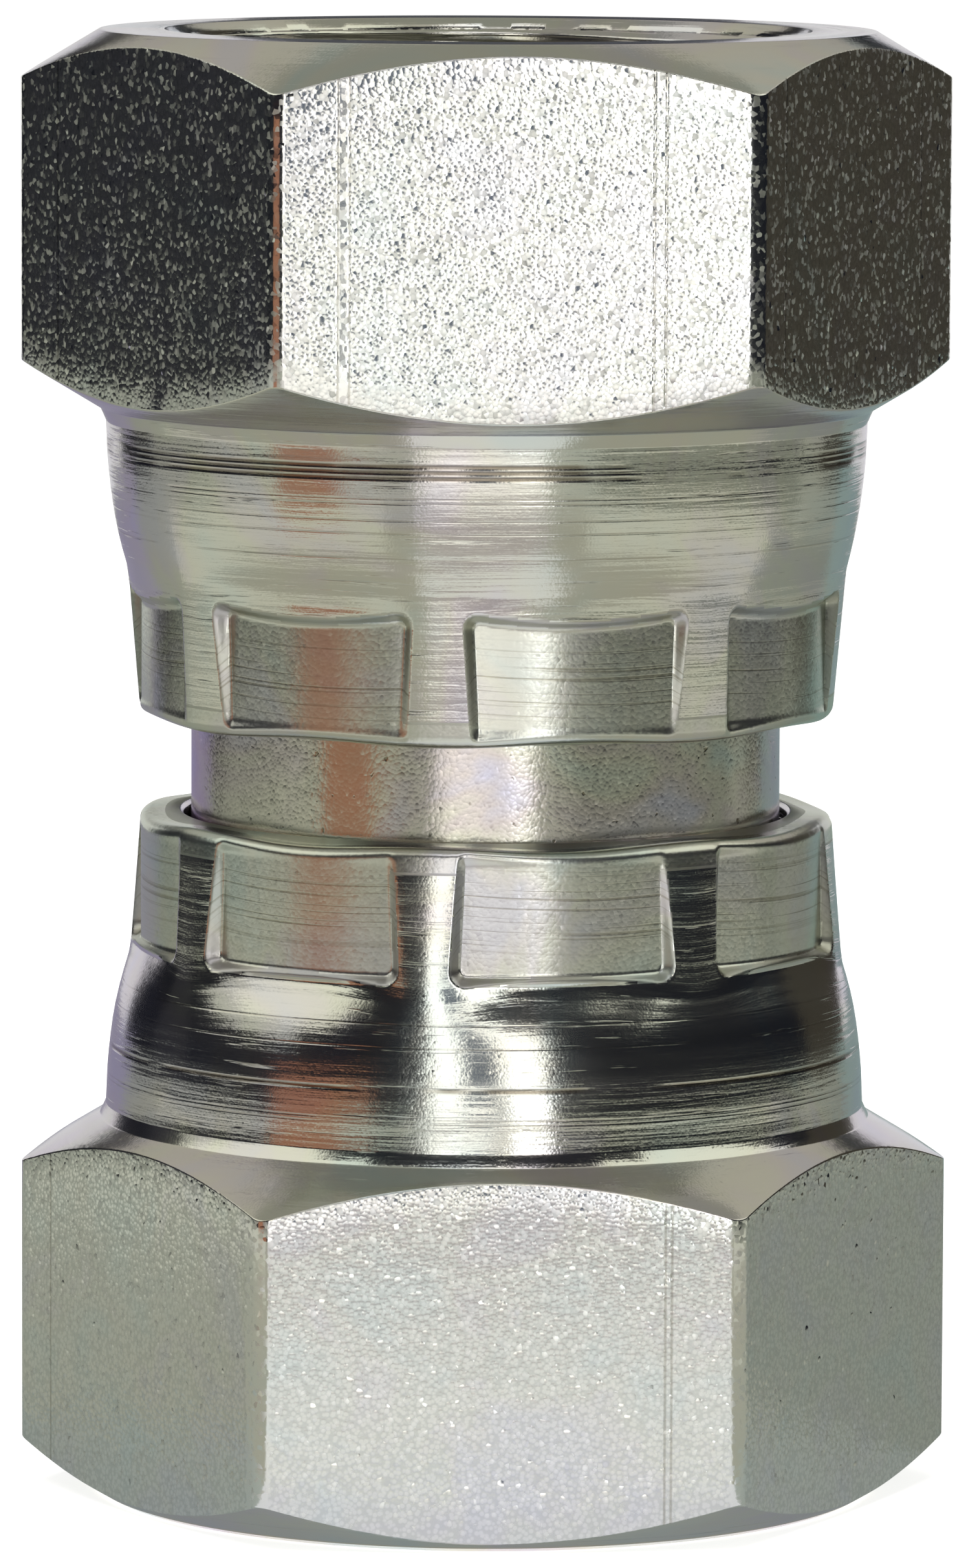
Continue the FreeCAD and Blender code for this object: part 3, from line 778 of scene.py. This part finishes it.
def graded(name, near, far, behind, blend, strength=1.0):
    """Light from one colour near the adapter to another farther off, and to a third behind it."""
    material, tree = start_material(name)
    parts = add(tree, "ShaderNodeSeparateXYZ", {0: object_place(tree)}).outputs
    flat = add(tree, "ShaderNodeCombineXYZ", {"X": parts["X"], "Y": parts["Y"]})
    reach = add(tree, "ShaderNodeVectorMath", {0: flat}, operation="LENGTH").outputs["Value"]
    share = add(tree, "ShaderNodeMapRange", {"Value": reach, "From Min": blend[0], "From Max": blend[1]})
    front = add(tree, "ShaderNodeMix", {"Factor": share, FIRST_COLOUR: near, SECOND_COLOUR: far},
                data_type="RGBA").outputs[MIXED_COLOUR]
    back = add(tree, "ShaderNodeMapRange", {"Value": parts["Y"], "From Min": -0.025, "From Max": 0.02})
    colour = add(tree, "ShaderNodeMix", {"Factor": back, FIRST_COLOUR: front, SECOND_COLOUR: behind},
                 data_type="RGBA").outputs[MIXED_COLOUR]
    shine(tree, colour, strength)
    return material


def low_window():
    """The foot of the front card, brighter to the right and downwards, like daylight from a low window."""
    material, tree = start_material("low_window")
    parts = add(tree, "ShaderNodeSeparateXYZ", {0: object_place(tree)}).outputs
    slope = add(tree, "ShaderNodeMath", {0: parts["Z"], 1: -0.5, 2: parts["X"]}, operation="MULTIPLY_ADD")
    strength = add(tree, "ShaderNodeMapRange", {"Value": slope, "From Min": 0.05, "From Max": 0.07,
                                                "To Min": 0.02, "To Max": 5.0})
    shine(tree, "#f8fbff", strength)
    return material


def stage_piece(name, points, faces, material):
    """Something round the adapter that isn't part of it."""
    mesh = bpy.data.meshes.new(name)
    mesh.from_pydata(points, [], faces)
    mesh.materials.append(material)
    piece = bpy.data.objects.new(name, mesh)
    bpy.context.scene.collection.objects.link(piece)
    return piece


def card(name, points, faces, material):
    """A studio card: the steel reflects it, and neither the camera nor the light meets it."""
    piece = stage_piece(name, points, faces, material)
    piece.visible_camera = False
    piece.visible_diffuse = False
    piece.visible_transmission = False
    piece.visible_shadow = False


def flat_card(name, outline, height, material):
    """A level card that lies on the table or hangs over it."""
    points = [(x, y, height) for x, y in outline]
    card(name, points, [tuple(range(len(points)))], material)


def curved_card(name, radius, azimuths, elevations, material):
    """An upright card bent round the part, between azimuths from the front and elevations, in degrees."""
    start, end = azimuths
    steps = max(2, round((end - start) / 6))
    points, faces = [], []
    for k in range(steps + 1):
        turn = math.radians(start + (end - start) * k / steps)
        x, y = radius * math.sin(turn), -radius * math.cos(turn)
        points += [(x, y, radius * math.tan(math.radians(elevation))) for elevation in elevations]
        if k:
            faces.append((2 * k - 2, 2 * k - 1, 2 * k + 1, 2 * k))
    card(name, points, faces, material)


def sector(near, far, start, end):
    """Corners of a part of a ring on the table, between two azimuths from the front in degrees."""
    turns = [math.radians(start + (end - start) * k / 8) for k in range(9)]
    arcs = [(near, turn) for turn in turns] + [(far, turn) for turn in reversed(turns)]
    return [(radius * math.sin(turn), -radius * math.cos(turn)) for radius, turn in arcs]


def circle(radius):
    """Corners of a round card."""
    turns = [math.tau * k / 48 for k in range(48)]
    return [(math.sin(turn) * radius, -math.cos(turn) * radius) for turn in turns]


def studio_cards():
    """Dark walls, a grey ceiling, mats, cloths, a sheet of painted shadow to the right behind the adapter,
    and white cards in front, behind and high at the sides.

    Their order outwards and upwards matters, because the steel sees only the nearest one.
    """
    lights = {name: glowing(name, colour, strength) for name, colour, strength in (
        ("dark_wall", "#c8d4ff", 0.014), ("white_card", "#fffdf8", 1.8), ("high_card", "#fdfcff", 1.4),
        ("side_softbox", "#f8faec", 1.0), ("side_glow", "#f4f8ec", 0.6), ("warm_wall", "#fff4dc", 0.05),
        ("cool_wall", "#e8ecff", 0.03), ("pale_upper_wall", "#eceadc", 0.58),
        ("grey_ceiling", "#e8eadc", 0.36),
        ("lens_glass", "#9cb4d8", 0.2), ("clay_block", "#b07c62", 0.8), ("back_card", "#eeeeec", 1.1),
        ("back_gap", "#dde4ee", 0.12), ("lavender_cloth", "#a5a2b2", 1.0), ("teal_cloth", "#99ada8", 1.0),
        ("inner_mat", "#cbcdc0", 1.0), ("dark_corner", "#3a3a36", 1.0), ("right_shade_sheet", "#90968e", 1.0),
    )}
    lights["low_window"] = low_window()
    # The glowing mats take no real shadow, so their darker colours near the adapter and behind it are its
    # painted shadow.
    for name, *look in (
        ("grey_mat", "#a7a79a", "#b6baae", "#a2a69b", (0.08, 0.13)),
        ("mat_middle", "#a4acaa", "#b0b8b2", "#8e938d", (0.012, 0.022)),
        ("white_strip", "#a09b9b", "#fdfcf8", "#ffffff", (0.075, 0.14), 1.2),
        ("right_mat", "#7a7e73", "#7a7e73", "#7a7f76", (0.1, 0.2)),
        ("foot_strip", "#dcdee4", "#e6e8e6", "#dcdee4", (0.015, 0.025)),
    ):
        lights[name] = graded(name, *look)

    for side, light, outline, height in (
        ("", "grey_mat", circle(0.255), 0.0001),
        ("", "lavender_cloth", [(0.0, 0.02), (0.0, 0.24), (-0.16, 0.18), (-0.14, 0.13)], 0.0003),
        ("", "teal_cloth", [(0.0, 0.02), (0.14, 0.13), (0.16, 0.18), (0.0, 0.24)], 0.0003),
        ("", "mat_middle", circle(0.022), 0.00015),
        ("", "white_strip", [(-0.006, -0.022), (-0.14, -0.4), (0.128, -0.4), (0.007, -0.022)], 0.0002),
        ("", "right_mat", sector(0.115, 0.19, 32, 108), 0.00012),
        ("left_", "inner_mat", sector(0.06, 0.113, -30, -112), 0.00011),
        ("left_", "dark_corner", sector(0.19, 0.254, -120, -140), 0.00011),
        ("right_", "inner_mat", sector(0.06, 0.113, 30, 112), 0.00011),
        ("right_", "dark_corner", sector(0.19, 0.254, 120, 140), 0.00011),
        ("", "foot_strip", [(-0.009, -0.0109), (-0.0195, -0.056), (0.0205, -0.056), (0.01, -0.0109)],
         0.00022),
        # Painted shadow: a darker glowing sheet where the adapter's shadow falls, right and behind, for
        # the right flats to mirror.
        ("", "right_shade_sheet", [(0.004, 0.0), (0.1, 0.01), (0.08, 0.09), (0.0, 0.01)], 0.00025),
    ):
        flat_card(side + light, outline, height, lights[light])

    for name, radius, azimuths, elevations, light in (
        ("dark_walls", 0.25, (18.5, 343), (0, 29), "dark_wall"),
        ("low_window", 0.405, (3.2, 24), (0, 5), "low_window"),
        ("front_card", 0.41, (-19.5, 19.3), (0, 30), "white_card"),
        ("dark_front", 0.42, (-24, 24), (0, 35), "dark_wall"),
        ("lens", 0.26, (-6, 4.8), (5, 24), "lens_glass"),
        ("dark_top", 0.246, (-52, 52), (29, 45), "dark_wall"),
        ("right_back_card", 0.247, (144, 177), (0, 20), "back_card"),
        ("left_back_card", 0.247, (183, 216), (0, 20), "back_card"),
        ("back_gap", 0.248, (176.5, 183.5), (0, 20), "back_gap"),
        ("left_softbox", 0.247, (-108, -50), (25, 52), "side_softbox"),
        ("right_softbox", 0.247, (50, 108), (25, 52), "side_softbox"),
        ("left_high_softbox", 0.245, (-52, -40), (37, 52), "side_softbox"),
        ("right_high_softbox", 0.245, (40, 52), (37, 52), "side_softbox"),
        ("left_glow", 0.247, (-104, -62), (17, 25), "side_glow"),
        ("right_wall", 0.248, (116, 143), (0, 29), "warm_wall"),
        ("left_wall", 0.248, (-121, -103), (0, 29), "cool_wall"),
        ("front_top_card", 0.25, (-22, 22), (43, 60), "high_card"),
        ("low_clay_block", 0.105, (-63.5, -43), (0, 8.2), "clay_block"),
        ("clay_block", 0.244, (-65, -34), (1.4, 7.4), "clay_block"),
        ("pale_upper_walls", 0.253, (0, 360), (29, 56), "pale_upper_wall"),
        ("upper_walls", 0.254, (0, 360), (56, 60), "grey_ceiling"),
    ):
        curved_card(name, radius, azimuths, elevations, lights[light])
    flat_card("ceiling", circle(0.255), 0.254 * math.tan(math.radians(60)), lights["grey_ceiling"])


def shown_white(tree):
    """1 for the rays that see the table and the world white: from the camera, off metal, through glass."""
    path = add(tree, "ShaderNodeLightPath").outputs
    camera_ray, glossy_ray = path["Is Camera Ray"], path["Is Glossy Ray"]
    seen = add(tree, "ShaderNodeMath", {0: camera_ray, 1: glossy_ray}, operation="MAXIMUM")
    return add(tree, "ShaderNodeMath", {0: seen, 1: path["Is Transmission Ray"]}, operation="MAXIMUM")


def table():
    """A plain white table, which the camera sees as white but for the adapter's soft shadow."""
    material, tree = start_material("white_table")
    paint = add(tree, "ShaderNodeBsdfDiffuse", {"Color": "#e6e5e0"})
    lift = 0.76  # what the paint lacks to white under this light
    level = add(tree, "ShaderNodeMath", {0: shown_white(tree), 1: lift}, operation="MULTIPLY")
    glow = add(tree, "ShaderNodeEmission", {"Color": "#ffffff", "Strength": level})
    both = add(tree, "ShaderNodeAddShader", {0: paint, 1: glow})
    add(tree, "ShaderNodeOutputMaterial", {"Surface": both})
    size = 3.0
    stage_piece("table", [(-size, -size, 0), (size, -size, 0), (size, size, 0), (-size, size, 0)],
                [(0, 1, 2, 3)], material)


def surroundings():
    """A white world for the camera and the reflections, and a plain grey one for the light."""
    world = bpy.data.worlds.new("studio")
    bpy.context.scene.world = world
    world.use_nodes = True
    tree = world.node_tree
    tree.nodes.clear()
    plain = add(tree, "ShaderNodeBackground", {"Color": "#ffffff", "Strength": 0.35})
    white = add(tree, "ShaderNodeBackground", {"Color": "#ffffff", "Strength": 1.0})
    both = add(tree, "ShaderNodeMixShader", {0: shown_white(tree), 1: plain, 2: white})
    add(tree, "ShaderNodeOutputWorld", {"Surface": both})


def aimed(thing, place, target):
    """Puts a camera or a lamp at its place, looking at the target."""
    thing.location = place
    thing.rotation_euler = (Vector(target) - Vector(place)).to_track_quat("-Z", "Y").to_euler()
    bpy.context.scene.collection.objects.link(thing)


def top_softbox():
    """The one lamp: a soft square above, in front and to the left."""
    data = bpy.data.lights.new("top_softbox", "AREA")
    data.shape = "RECTANGLE"
    data.size = data.size_y = 0.5
    data.energy = 2.6
    light = bpy.data.objects.new("top_softbox", data)
    aimed(light, (-0.1, -0.2, 0.6), (0, 0, 0))
    light.visible_camera = False
    light.visible_glossy = False


def camera():
    """The picture's own view: 273 mm in front and looking 6.5 degrees down."""
    data = bpy.data.cameras.new("camera")
    data.sensor_fit = "VERTICAL"
    data.sensor_height = 36.0
    data.lens = 231.6
    data.clip_start = 0.01
    view = bpy.data.objects.new("camera", data)
    aimed(view, Vector((0.1, -272.9, 49.9)) * MM, Vector((0.1, 0, 19.21)) * MM)
    view.rotation_euler.rotate_axis("Z", math.radians(0.24))
    bpy.context.scene.camera = view


camera()
surroundings()
table()
studio_cards()
top_softbox()

TURNED = turned_zinc()
DRAWN = drawn_zinc()
PRESSED = pressed_zinc("pressed_zinc_plated_steel", 0.24, "#d4d6ce")
# The bruised finish is rougher, which is the jaws' real dulling; its darker plain colour, #a6a8a2, is
# painted shade on the pads' sloping walls.
BRUISED_AND_SHADED = pressed_zinc("bruised_and_shaded_zinc_plated_steel", 0.34, "#a6a8a2")
SATIN = collar_zinc()
NUT_FINISHES = [TURNED, DRAWN, PRESSED, BRUISED_AND_SHADED]

lower = swivel_nut("lower_swivel_nut", LOWER_HEX_TURN, LOWER_PAD_TURN, False, NUT_FINISHES)
upper = swivel_nut("upper_swivel_nut", UPPER_HEX_TURN, UPPER_PAD_TURN, True, NUT_FINISHES)
threads, thread_sizes = thread_tree(TURNED)
lower_thread = nut_thread("lower_nut_thread", threads, thread_sizes, False)
upper_thread = nut_thread("upper_nut_thread", threads, thread_sizes, True)
stem = tubular_stem([TURNED, SATIN])

for piece, body in ((lower, "lower_nut"), (lower_thread, "lower_nut"), (upper, "upper_nut"),
                    (upper_thread, "upper_nut"), (stem, "stem")):
    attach(piece, body)
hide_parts("lower_nut")
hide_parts("upper_nut")
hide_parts("stem")

bpy.context.scene.view_settings.view_transform = "Standard"
